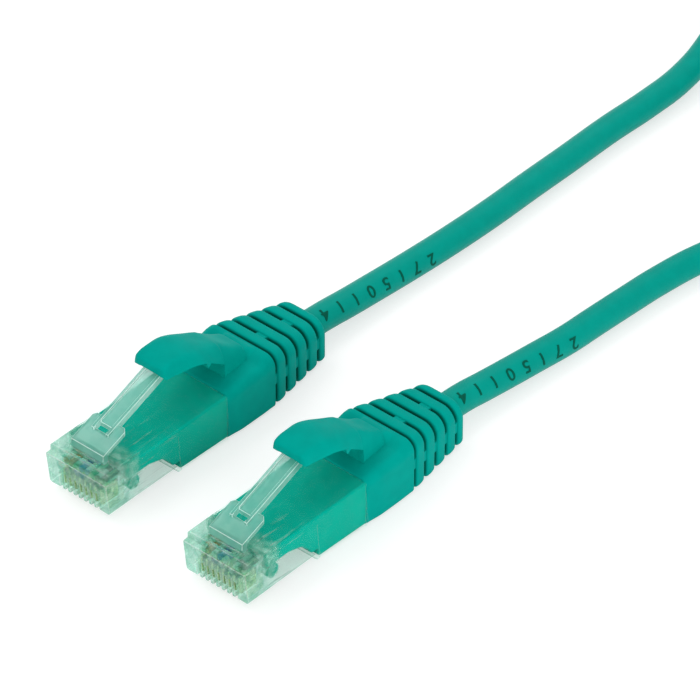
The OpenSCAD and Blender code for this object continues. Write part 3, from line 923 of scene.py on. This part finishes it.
    def insert(self) -> None:
        """The green moulding inside the housing, in front of the boot."""
        half = self.cavity_half_w + self.fill - 0.05
        top, low = self.insert_top + self.fill, self.insert_low - self.floor_fill
        low_row = self.row_z - self.wire_d / 2 - 0.05
        profile = (
            (self.insert_front_y, top), (self.insert_front_y, low_row), (9.2, low_row), (12.0, 4.1),
            (13.6, 2.6), (14.2, 1.55), (15.6, 1.55), (15.6, low), (25.6, low), (25.6, top),
        )
        bm = bmesh.new()
        corners = [bm.verts.new((-half, y, z)) for y, z in profile]
        face = bm.faces.new(corners)
        made = bmesh.ops.extrude_face_region(bm, geom=[face])["geom"]
        bmesh.ops.translate(bm, vec=(2 * half, 0, 0), verts=[g for g in made if isinstance(g, bmesh.types.BMVert)])
        bmesh.ops.recalc_face_normals(bm, faces=bm.faces)
        soften(bm, width=0.35, sharp=20.0, shortest=0.3, segments=3)
        cut(bm, (self.flare_y,))
        self.flare(bm)
        lobe_r, lobe_w = 1.15, 1.25
        for side in (-1, 1):
            spot = Matrix.Translation((side * (half - 0.65), 6.0, low_row - 1.1))
            lobe = bmesh.ops.create_cone(
                bm, cap_ends=True, segments=40, radius1=lobe_r, radius2=lobe_r, depth=lobe_w,
                matrix=spot @ Matrix.Rotation(math.pi / 2, 4, "Y"),
            )
            rim = {e for v in lobe["verts"] for e in v.link_edges if e.calc_face_angle(0.0) > 1.0}
            bevel(bm, list(rim), 0.12)
        self.bench.finish(bm, self.node("insert"), Finish.INSERT, [self.node("boot")])

    # ---- boot

    def outline(self, y: float, inset: float) -> list[Vector]:
        """The boot's outline at y, drawn in by inset.

        Args:
            y: distance from the front lip.
            inset: how far inside the outer skin.

        Returns:
            The ring's points.
        """
        along = max(0.0, y - self.relief_y)
        rise = step(y, self.hump_y, self.hump_y + 2)
        front = 1 - step(y, self.housing_len, self.joint_end_y)
        half = self.boot_half_w - self.joint_in * front - self.side_taper * along - inset
        plain_top = self.boot_h + 0.05 - self.joint_down * front
        top = plain_top + (self.hump_h - plain_top) * rise - self.top_taper * along - inset
        low = inset
        foot = max(0.4, 0.8 + 0.1 * rise - inset / 2)
        crown = max(0.6, 1.5 + 0.4 * rise + 0.05 * along - inset / 2)
        corner, side, flat = 9, 24, 34
        points: list[Vector] = []
        for sx, sz, r, turn in ((1, 1, crown, 0), (-1, 1, crown, 90), (-1, -1, foot, 180), (1, -1, foot, 270)):
            cx, cz = sx * (half - r), (top - r) if sz > 0 else (low + r)
            for k in range(corner):
                a = math.radians(turn + 90 * k / (corner - 1))
                points.append(Vector((cx + r * math.cos(a), y, cz + r * math.sin(a))))
        full: list[Vector] = []
        for q in range(4):
            run = points[q * corner : (q + 1) * corner]
            after = points[((q + 1) % 4) * corner]
            extra = flat if q in (0, 2) else side
            full += run + [run[-1].lerp(after, k / (extra + 1)) for k in range(1, extra + 1)]
        return full

    def slot_share(self, y: float) -> float:
        """How much of a slot's depth there is at y: 0 outside, 1 at its floor."""
        wall = 0.06
        for k in range(self.slots):
            start = self.relief_y + k * self.slot_pitch
            end = start + self.slot_w
            if start <= y <= end:
                return min(step(y, start, start + wall), 1 - step(y, end - wall, end))
        return 0.0

    def rib_round(self, y: float) -> float:
        """How far the ribs' rounded edges and their slight crown draw the skin in at y."""
        first = self.relief_y + self.slot_w
        lip_r, crown = 0.2, 0.14
        if y < self.relief_y:
            to_edge, draw = self.relief_y - y, 0.0
        else:
            at = (y - first) % self.slot_pitch
            rib = self.slot_pitch - self.slot_w
            if y < first or at > rib:
                return lip_r + crown
            to_edge, draw = min(at, rib - at), crown * abs(2 * at / rib - 1) ** 3
        gap = lip_r - min(lip_r, to_edge)
        return draw + lip_r - math.sqrt(max(0.0, lip_r * lip_r - gap * gap))

    def sunk(self, p: Vector) -> float:
        """How far a point of the boot's skin is sunk into a slot: 1 on its floor, 0 on a bar or bridge across it."""
        k = int((p.y - self.relief_y) // self.slot_pitch)
        mid_z = self.bar_front_z - self.bar_fall * min(max(k, 0), 3)
        beside = 1 - step(abs(p.z - mid_z), self.bar_half_h - 0.2, self.bar_half_h + 0.1)
        beside *= step(abs(p.x), 2.2, 3.0)
        off = abs(p.x - self.bridge_x)
        over = 1 - step(off, self.bridge_half_w - 0.2, self.bridge_half_w + 0.1) if k % 2 else 0.0
        return self.slot_share(p.y) * (1 - max(beside, over))

    def notched(self, y: float, outer: Sequence[Vector]) -> list[Vector]:
        """A ring inside a slot: sunk to its floor, but for the bars and bridges that cross it.

        Args:
            y: distance from the front lip.
            outer: the ring without the slot.

        Returns:
            The ring's points.
        """
        return [p.lerp(deep, self.sunk(p)) for p, deep in zip(outer, self.outline(y, self.slot_depth))]

    def boot(self) -> None:
        """The boot: the block behind the housing and the slotted strain relief, as one moulding."""
        front_r, end_r = 0.25, 0.7
        arcs = [math.radians(a) for a in range(0, 91, 15)]
        front_y = self.housing_len + 0.12
        stations = [(front_y + front_r * (1 - math.cos(a)), front_r * (1 - math.sin(a))) for a in arcs]
        block = (25.6, 26, 26.4, 26.8, 27.2, 27.6, 28, 28.4, 28.8, 30, 31.5, 32.2)
        rise = (32.5 + 0.15 * k for k in range(16))
        stations += [(y, 0.0) for y in (*block, *rise)]
        before = (-0.2, -0.13, -0.08, -0.04, -0.015, 0.0)
        inside = (0.02, 0.04, 0.06, 0.39, 0.72, 0.74, 0.76, 0.78)
        behind = (0.795, 0.82, 0.86, 0.91, 0.98, 1.08, 1.2, 1.36, 1.53, 1.73, 1.93, 2.13, 2.3, 2.43)
        for k in range(self.slots):
            start = self.relief_y + k * self.slot_pitch
            stations += [(start + o, 0.0) for o in (*before, *inside, *behind)]
        last = self.boot_end - end_r
        stations = sorted(s for s in stations if s[0] < last - 0.05)
        stations += [(last + end_r * math.sin(a), end_r * (1 - math.cos(a))) for a in arcs]
        loft: Loft | None = None
        for y, inset in stations:
            rib = self.rib_round(y) if y < last - 0.3 else 0.0
            ring = self.outline(y, inset + rib)
            if self.slot_share(y) > 0:
                ring = self.notched(y, ring)
            ramp = max(0.0, self.block_z - self.block_fall * (y - 33) - self.hump_h)
            ramp *= step(y, self.hump_y, self.hump_y + 0.5)
            for p in ring:
                if p.z > self.boot_h - 0.4 and y < self.relief_y:
                    p.z += ramp * (1 - step(abs(p.x), self.block_half_w, self.block_half_w + 1))
            if loft is None:
                loft = Loft(ring)
            else:
                loft.draw(ring)
        bm = loft.close()
        # The slot floors are painted darker by how deep they sink: painted shade.
        self.bench.finish(
            bm, self.node("boot_skin"), Finish.BOOT, crease=60.0,
            wash={"slot_shade": lambda p: self.sunk(p) ** 0.3},
        )

    # ---- hood

    def hood_ring(self, y: float) -> list[Vector]:
        """One section of the hood: the outer skin from side to side, then the inner skin back.

        Args:
            y: distance from the front lip.

        Returns:
            The ring's points.
        """
        share = (y - self.hood_tip_y) / (self.hood_hinge_y - self.hood_tip_y)
        top = self.hood_axis_z + (self.hood_peak_z - self.hood_axis_z) * lookup(share, self.RIDGE)
        half = lookup(share, self.TIP) * (
            self.hood_root_half_w + (self.hood_half_w - self.hood_root_half_w) * lookup(share, self.SPREAD)
        )
        half -= 0.75 * step(y, self.hood_end_y - 0.7, self.hood_end_y) ** 2
        root = step(y, self.hood_root_y, self.hood_root_y + 0.15)
        low = (top - self.hood_side_h * lookup(share, self.SIDES)) * (1 - root) + self.hood_root_z * root
        lip = self.lip_r - min(self.lip_r, y - self.hood_tip_y)
        ease = self.lip_r - math.sqrt(self.lip_r**2 - lip**2)
        top, low, half = top - ease, low + ease, half - ease
        bulge = lookup(share, self.BULGE)
        rise = top - low
        thick = 1.0 + 0.8 * (1 - step(share, 0.02, 0.14))
        roof = min(thick, rise - 0.1) * (1 - root) + (rise - 0.1) * root
        front, back = step(y, self.tooth_y - 0.35, self.tooth_y - 0.1), step(y, self.tooth_y + 0.9, self.tooth_y)
        tooth = self.tooth_h * min(front, back)
        steps = 30
        ring: list[Vector] = []
        for width, fall, turn in ((half, 0.0, 1), (half - self.hood_wall, roof, -1)):
            for k in range(steps + 1):
                s = turn * math.cos(math.pi * k / steps)
                foot = tooth if k in (0, steps) else 0.0
                ring.append(Vector((width * s, y, top - fall - (rise - fall) * abs(s) ** bulge - foot)))
        return ring

    def hood(self) -> None:
        """The hood: an arched guard over the latch that bends at its root."""
        tip = (0, 0.05, 0.12, 0.2, 0.35, 0.55, 0.8, 1.1, 1.5, 2.0, 2.6, 3.3, 4, 4.8, 5.6, 6.4)
        teeth = (22.4, 22.8, 23.15, 23.2, 23.3, 23.4, 23.6, 23.8, 24.0, 24.2, 24.4, 24.8, 25.3, 25.8, 26.3, 26.8, 27.2)
        root = (27.35, 27.4, 27.43, 27.46, 27.5, 27.9, 28.4, 29.0, 29.7, 30.4, 31.1, 31.6, 32.0)
        end = (32.3, 32.5, 32.65, 32.75, 32.85, 32.92, 32.97, 33.0)
        ys = [*(self.hood_tip_y + t for t in tip), *teeth, *root, *end]
        loft = Loft(self.hood_ring(ys[0]))
        for y in ys[1:]:
            loft.draw(self.hood_ring(y))
        bm = loft.close()
        piece = self.hood_bench.finish(
            bm, self.node("hood_skin"), Finish.BOOT, [self.node("hood")], 50.0, rides=False
        )
        axis = [Vector((0, y, self.hood_axis_z)) for y in (self.hood_bend_y, self.hood_hinge_y)]
        start, end = ((Vector(self.origin) + point) * MM for point in axis)
        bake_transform(piece, f"hood_{self.side}", "cable", start=start, end=end)


# ---- cord


@dataclass
class Cord:
    """The cord from boot to boot, with its coil and the tie."""

    diameter: float = 4.5
    boot_end: float = 48.8
    exit_z: float = 3.4
    coil_turns: float = 4.5
    coil_r: float = 29.8
    coil_gap: float = 0.45
    tie_t: float = 0.5
    tie_slack: float = 0.3
    printed: str = "41105172"
    print_start: float = 2.6
    print_pitch: float = 3.15
    print_size: float = 2.8
    print_turn: float = 38.0
    print_twist: float = 1.35
    coil_mid: tuple[float, float] = (11.3, 149.0)
    route_a: Sequence[Point] = (
        (-13.7, 29.2, 3.2), (-13.5, 33.5, 2.9), (-13.3, 39, 2.6), (-12.9, 47, 2.35), (-12.5, 56, 2.25),
        (-12.3, 65, 2.25), (-12.4, 74, 2.25), (-12.4, 83, 2.25), (-12.5, 93, 2.25), (-12.2, 102, 2.3),
        (-12.2, 110, 2.7), (-13.3, 118, 3.8), (-15.2, 125, 5.5), (-17, 131.5, 6.9), (-18.3, 138, 7.8),
    )
    route_b: Sequence[Point] = (
        (13.9, 28.2, 3.2), (14.2, 32, 2.9), (14.6, 36.5, 2.65), (15.2, 43, 2.4), (15.8, 49, 2.25),
        (16.1, 55, 2.25), (16.5, 62, 2.25), (17, 69, 2.25), (18.2, 77, 2.25), (20.6, 85, 2.25),
        (24.4, 93, 2.25), (29.2, 101, 2.25), (33.9, 108.5, 2.3), (37.7, 116, 2.45), (40.2, 124, 2.7),
        (41.0, 132, 2.95), (41.1, 138.5, 3.05),
    )

    def __post_init__(self) -> None:
        """Works out the coil from its sizes."""
        self.pitch = self.diameter + self.coil_gap
        self.low_z = self.tie_t + self.tie_slack + self.diameter / 2
        self.sweep = 360 * self.coil_turns
        self.bench = Bench((0, 0, 0), "cable")

    def coil_point(self, t: float) -> Point:
        """The coil's centre line at sweep angle t, in degrees."""
        r = self.coil_r - self.pitch * min(t, self.sweep - t) / 360
        climb = step(t, self.sweep / 2 - 90, self.sweep / 2 + 90)
        a = math.radians(t)
        return (
            self.coil_mid[0] + r * math.cos(a),
            self.coil_mid[1] + r * math.sin(a),
            self.low_z + self.pitch * climb,
        )

    def line(self, exit_a: Point, exit_b: Point) -> list[Point]:
        """The whole centre line, from the first boot through the coil to the second.

        Args:
            exit_a: where the cord leaves the first boot.
            exit_b: where it leaves the second.

        Returns:
            The points, in millimetres.
        """
        steps = int(24 * self.coil_turns)
        turns = [self.coil_point(self.sweep * (1 - k / steps)) for k in range(steps + 1)]
        mid_x, mid_y = self.coil_mid
        enter = (mid_x - self.coil_r, mid_y - self.diameter, self.low_z + self.pitch)
        leave = (mid_x + self.coil_r, mid_y - self.diameter, self.low_z)
        return [exit_a, *self.route_a, enter, *turns, leave, *reversed(self.route_b), exit_b]

    def build(self, exit_a: Point, exit_b: Point) -> None:
        """Args:
            exit_a: where the cord leaves the first boot.
            exit_b: where it leaves the second.
        """
        line = [Vector(p) * MM for p in self.line(exit_a, exit_b)]
        curve = bpy.data.curves.new("cord_jacket", "CURVE")
        curve.dimensions = "3D"
        curve.resolution_u = 6
        curve.bevel_depth = self.diameter / 2 * MM
        curve.bevel_resolution = 7
        curve.use_fill_caps = True
        spline = curve.splines.new("BEZIER")
        spline.bezier_points.add(len(line) - 1)
        for knot, place in zip(spline.bezier_points, line):
            knot.co = place
            knot.handle_left_type = knot.handle_right_type = "AUTO"
        curve.materials.append(Finish.CORD.build())
        cord = put("cord_jacket", curve)
        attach(cord, "cable")
        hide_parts("cord_a", "cord_b", "cord_coil")
        tie = self.bench.round_node("coil_tie", "coil_strap", Finish.STRAP, width=0.12, sharp=35.0, shortest=0.5)
        pieces = [tie, self.numbers("a", exit_a, self.route_a), self.numbers("b", exit_b, self.route_b)]

    def numbers(self, side: str, exit_point: Point, route: Sequence[Point]) -> Piece:
        """Plain numbers, printed round the jacket behind a boot.

        Args:
            side: the boot's letter.
            exit_point: where the cord leaves the boot.
            route: the cord's centre line from there.

        Returns:
            The piece.
        """
        middle_x, middle_z = ([(p[1], p[axis]) for p in (exit_point, *route)] for axis in (0, 2))
        bm = bmesh.new()
        for k, digit in enumerate(self.printed):
            text = bpy.data.curves.new("digit", "FONT")
            text.body, text.size, text.extrude, text.offset = digit, self.print_size, 0.05, 0.03
            text.align_x = text.align_y = "CENTER"
            holder = bpy.data.objects.new("digit", text)
            glyph = bpy.data.meshes.new_from_object(holder)
            shape = bmesh.new()
            shape.from_mesh(glyph)
            cut(shape, [0.15 * j for j in range(-7, 8)])
            for vertex in shape.verts:
                u, w, rise = vertex.co
                along = self.print_start + self.print_pitch * k - u
                y = exit_point[1] + along
                a = math.radians(self.print_turn + self.print_twist * (along - 3)) + w / (self.diameter / 2)
                r = self.diameter / 2 + rise
                vertex.co = (lookup(y, middle_x) + r * math.sin(a), y, lookup(y, middle_z) + r * math.cos(a))
            shape.to_mesh(glyph)
            shape.free()
            bm.from_mesh(glyph)
            bpy.data.objects.remove(holder)
            bpy.data.meshes.remove(glyph)
        return self.bench.finish(bm, f"jacket_numbers_{side}", Finish.MARKS, crease=20.0)


# ---- studio


@dataclass
class Studio:
    """Camera, floor and light."""

    target: Point = (-7.403, 27.504, 0.95)
    azimuth: float = 41.536
    elevation: float = 38.694
    distance: float = 900.0
    scale: float = 6.837
    frame_px: float = 700.0
    sensor: float = 36.0
    floor_glow: float = 0.62
    floor_half: float = 3.0
    floor_drop: float = 0.0001

    def camera(self) -> None:
        """The camera: its lens shows `scale` pixels for each millimetre at the target."""
        data = bpy.data.cameras.new("camera")
        data.sensor_width = self.sensor
        data.lens = self.scale * self.distance * self.sensor / self.frame_px
        camera = put("camera", data)
        a, e = math.radians(self.azimuth), math.radians(self.elevation)
        back = Vector((math.sin(a) * math.cos(e), -math.cos(a) * math.cos(e), math.sin(e)))
        camera.location = (Vector(self.target) + back * self.distance) * MM
        camera.rotation_euler = (-back).to_track_quat("-Z", "Y").to_euler()
        bpy.context.scene.camera = camera

    def floor(self) -> None:
        """A white floor that is white to the eye and keeps the shadows."""
        g = Graph("white_floor")
        grey, pale = (g.shader("Diffuse", {"Color": (level,) * 3}) for level in (0.5, 0.9))
        page = g.node("ShaderNodeAddShader", None, {0: grey, 1: g.emission("Emission", self.floor_glow)}).outputs[0]
        material = g.end(g.mixed(g.seen(), pale, page))
        bm = bmesh.new()
        bmesh.ops.create_grid(bm, x_segments=1, y_segments=1, size=self.floor_half)
        bmesh.ops.translate(bm, vec=(0, 0, -self.floor_drop), verts=bm.verts)
        mesh = bpy.data.meshes.new("floor")
        bm.to_mesh(mesh)
        bm.free()
        mesh.materials.append(material)
        floor = put("floor", mesh)

    def lamp(self, name: str, place: Point, aim: Point, size: float, power: float) -> None:
        """A square soft box.

        Args:
            name: its name.
            place: where it stands, in metres.
            aim: the point that it faces, in metres.
            size: its side, in metres.
            power: watts.
        """
        data = bpy.data.lights.new(name, "AREA")
        data.size = size
        data.energy = power
        lamp = put(name, data)
        lamp.location = place
        lamp.rotation_euler = (Vector(aim) - Vector(place)).to_track_quat("-Z", "Y").to_euler()

    def light(self) -> None:
        """The world's even light, a key from the upper left, a low fill from the right and a lamp at the back."""
        g = Graph("studio", world=True)
        level = g.field("ShaderNodeMapRange", None, {"Value": g.seen(), "To Min": 0.7, "To Max": 1.0})
        bpy.context.scene.world = g.end(g.emission("Background", level))
        aim = (0, 0.02, 0)
        self.lamp("key", (-0.35, -0.05, 0.55), aim, 0.35, 1.0)
        self.lamp("fill", (0.55, -0.3, 0.17), aim, 0.28, 1.5)
        self.lamp("back", (-0.1, 0.6, 0.35), aim, 0.3, 0.6)

    def build(self) -> None:
        """Sets up the camera, the floor and the light."""
        self.camera()
        self.floor()
        self.light()
        bpy.context.scene.view_settings.view_transform = "Standard"


def main() -> None:
    """Builds the whole cable and its studio."""
    logging.basicConfig(level=logging.INFO, format="%(name)s: %(message)s")
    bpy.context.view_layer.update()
    studio = Studio()
    studio.build()
    places = {"a": (-13.8, -23.8, 0.0), "b": (13.8, -25.0, 0.0)}
    cord = Cord()
    exits = [(x, y + cord.boot_end, cord.exit_z) for x, y, _ in places.values()]
    cord.build(*exits)
    for side, origin in places.items():
        Plug(side, origin).build()


if __name__ == "__main__":
    main()
